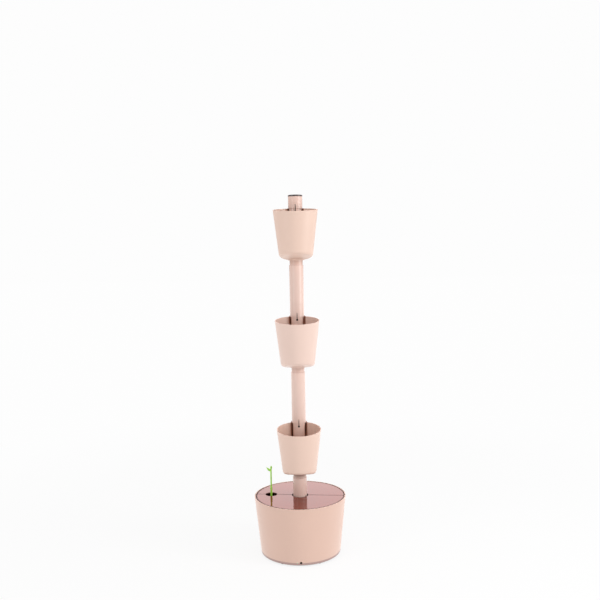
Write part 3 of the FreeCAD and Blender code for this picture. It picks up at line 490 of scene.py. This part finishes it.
# Sprout, in millimetres from the top of its stem, whose place is in metres. Rings of the stem:
# place, and half-sizes in X and Y
STEM_TOP = Vector((-0.11242, 0.01142, 0.336))
STEM = ((0, 0, -93, 2.6, 2.6), (0, 0, -80, 3.0, 3.0), (0, 0, -40, 3.0, 3.0), (0, 0, -16, 2.9, 2.9),
        (0.2, 0, -6, 2.7, 2.5), (0.4, 0, -2, 2.0, 1.8), (0.5, 0, 0, 0.4, 0.4))
# A leaf: foot, the point that it bends towards, tip, and half its width
LEFT_LEAF = ((0, 0, -19), (-8.5, -0.5, -17.5), (-17.5, -1.5, -4), 4.6)
RIGHT_LEAF = ((0.5, 0, -13), (3.5, -0.5, -8), (2.0, -1.5, 0.5), 2.6)
# The part of a half wave that a leaf's width swells along, an exponent that puts its widest place
# nearer to the foot, and the least half-sizes across it and through it
SWELL_START = 0.12
SWELL_END = 0.995
SWELL_POWER = 0.9
LEAST_WIDTH = 0.15
LEAST_DEPTH = 0.1
LEAF_STEPS = 12
LIMB_STEPS = 16


def leaf_rings(foot, bend, tip, width):
    """Rings along a bent leaf: place, and half-sizes across it and through it."""
    rings = []
    for step in range(LEAF_STEPS + 1):
        part = step / LEAF_STEPS
        place = [(1 - part) ** 2 * a + 2 * part * (1 - part) * b + part ** 2 * c
                 for a, b, c in zip(foot, bend, tip)]
        along = min(SWELL_END, SWELL_START + (1 - SWELL_START) * part)
        swell = math.sin(math.pi * along ** SWELL_POWER)
        rings.append((*place, max(LEAST_WIDTH, width * swell), max(LEAST_DEPTH, swell ** 0.5)))
    return rings


def limb(rings, first):
    """Points and faces of a limb with elliptic rings square to its path, which stays near the XZ
    plane. The points are numbered from first."""
    points = []
    places = [Vector(ring[:3]) for ring in rings]
    for index, (place, ring) in enumerate(zip(places, rings)):
        along = places[min(index + 1, len(rings) - 1)] - places[max(index - 1, 0)]
        along.normalize()
        wide = along.cross(Vector((0, 1, 0))).normalized()
        deep = along.cross(wide)
        for step in range(LIMB_STEPS):
            turn = 2 * math.pi * step / LIMB_STEPS
            point = place + wide * ring[3] * math.cos(turn) + deep * ring[4] * math.sin(turn)
            points.append(STEM_TOP + point / 1000)
    faces = strips(len(rings), LIMB_STEPS) + end_faces(points, LIMB_STEPS)
    return points, [tuple(first + corner for corner in face) for face in faces]


def sprout():
    points, faces = [], []
    for rings in (STEM, leaf_rings(*LEFT_LEAF), leaf_rings(*RIGHT_LEAF)):
        more_points, more_faces = limb(rings, len(points))
        points += more_points
        faces += more_faces
    add_piece("green_sprout", points, faces, SPROUT, "sprout", "indicator")


sprout()

FLOOR_SIZE = 60
FLOOR_CLOUDS = 0.5
# Share of the floor's own glow in what it shows: at the tank's foot, beside it, and all of it in
# the distance. The pairs are distances from the mast between which it rises.
FOOT_GLOW = 0.5
FLOOR_GLOW = 0.88
GLOW_BESIDE = (0.135, 0.150)
GLOW_FAR = (0.5, 2.5)
# Strength of that glow, and of the floor in gloss
FLOOR_LIGHT = 0.985
FLOOR_IN_GLOSS = 1.4
# Strength of the room's light, and of the room in gloss: plain, and in a bright band. The band's
# lower and upper edge are Z on a sphere of radius 1.
ROOM_LIGHT = 0.59
ROOM_IN_GLOSS = 0.35
BAND_IN_GLOSS = 3.1
BAND_COLOUR = (1.0, 0.80, 0.79, 1.0)
BAND_FOOT = (0.06, 0.20)
BAND_HEAD = (0.45, 0.65)
# The point that the lamps at the sides face
TOWER_MIDDLE = (0, 0, 0.8)


def ground():
    """Pale floor, far larger than the view. It glows, so that only a faint shadow stays on it."""
    bpy.ops.mesh.primitive_plane_add(size=FLOOR_SIZE, location=(0, 0, 0))
    floor = bpy.context.object
    floor.name = "floor"
    surface = Surface("floor_pale", 0.9, 0.0)
    surface.colour(surface.mix(surface.noise(FLOOR_CLOUDS), srgb(252, 252, 252), srgb(254, 254, 254)))

    def glow(strength):
        emission = surface.node("ShaderNodeEmission")
        emission.inputs["Strength"].default_value = strength
        return emission.outputs[0]

    across = surface.across()
    share = surface.maths("ADD", surface.ramp(across, *GLOW_BESIDE, FOOT_GLOW, FLOOR_GLOW),
                          surface.ramp(across, *GLOW_FAR, 0.0, 1 - FLOOR_GLOW))
    plain = surface.blend(share, surface.shader.outputs[0], glow(FLOOR_LIGHT))
    rays = surface.node("ShaderNodeLightPath").outputs
    shown = surface.blend(rays["Is Glossy Ray"], plain, glow(FLOOR_IN_GLOSS))
    surface.feed(shown, surface.tree.nodes["Material Output"].inputs["Surface"])
    floor.data.materials.append(surface.material)


def room():
    """White studio: plain to the view, dimmer in the light, and in gloss a bright band that only a
    level surface reflects."""
    world = bpy.data.worlds.new("studio")
    bpy.context.scene.world = world
    studio = Tree(world)

    def background(node, colour, strength):
        studio.feed(colour, node.inputs["Color"])
        studio.feed(strength, node.inputs["Strength"])
        return node.outputs[0]

    height = studio.axes(studio.node("ShaderNodeTexCoord").outputs["Generated"])[2]
    band = studio.maths("MINIMUM", studio.ramp(height, *BAND_FOOT, ROOM_IN_GLOSS, BAND_IN_GLOSS),
                        studio.ramp(height, *BAND_HEAD, BAND_IN_GLOSS, ROOM_IN_GLOSS))
    plain = background(studio.tree.nodes["Background"], (1, 1, 1, 1), ROOM_LIGHT)
    mirrored = background(studio.node("ShaderNodeBackground"), BAND_COLOUR, band)
    seen = background(studio.node("ShaderNodeBackground"), srgb(253, 253, 253), 1.0)
    rays = studio.node("ShaderNodeLightPath").outputs
    shown = studio.blend(rays["Is Glossy Ray"], plain, mirrored)
    shown = studio.blend(rays["Is Camera Ray"], shown, seen)
    studio.feed(shown, studio.tree.nodes["World Output"].inputs["Surface"])


def soft_box(name, place, target, width, height, power):
    light = bpy.data.lights.new(name, "AREA")
    light.shape = "RECTANGLE"
    light.size = width
    light.size_y = height
    light.energy = power
    lamp = bpy.data.objects.new(name, light)
    lamp.location = place
    lamp.rotation_euler = (Vector(target) - Vector(place)).to_track_quat("-Z", "Y").to_euler()
    bpy.context.scene.collection.objects.link(lamp)


def lamps():
    """Key light at the right, a weaker one at the left, and one above."""
    soft_box("key", (2.75, -1.25, 1.4), TOWER_MIDDLE, width=1.0, height=2.2, power=46)
    soft_box("fill", (-2.3, -1.95, 1.2), TOWER_MIDDLE, width=0.6, height=2.2, power=16)
    soft_box("above", (0.2, -0.6, 3.4), (0, 0, 0), width=2.0, height=2.0, power=25)


# The camera's fit to the photograph: lens and sensor in mm, place, pitch down and roll
LENS = 44.96
SENSOR = 36
CAMERA_PLACE = (0.0122, -2.866, 1.1655)
PITCH = math.radians(3.643)
ROLL = math.radians(0.962)
# How far the camera sees
VIEW_END = 200


def look():
    camera = bpy.data.cameras.new("camera")
    camera.lens = LENS
    camera.sensor_width = SENSOR
    camera.clip_end = VIEW_END
    taker = bpy.data.objects.new("camera", camera)
    turn = Matrix.Rotation(math.pi / 2 - PITCH, 4, "X") @ Matrix.Rotation(-ROLL, 4, "Z")
    taker.matrix_world = Matrix.Translation(CAMERA_PLACE) @ turn
    bpy.context.scene.collection.objects.link(taker)
    bpy.context.scene.camera = taker
    bpy.context.scene.view_settings.view_transform = "Standard"


ground()
room()
lamps()
look()
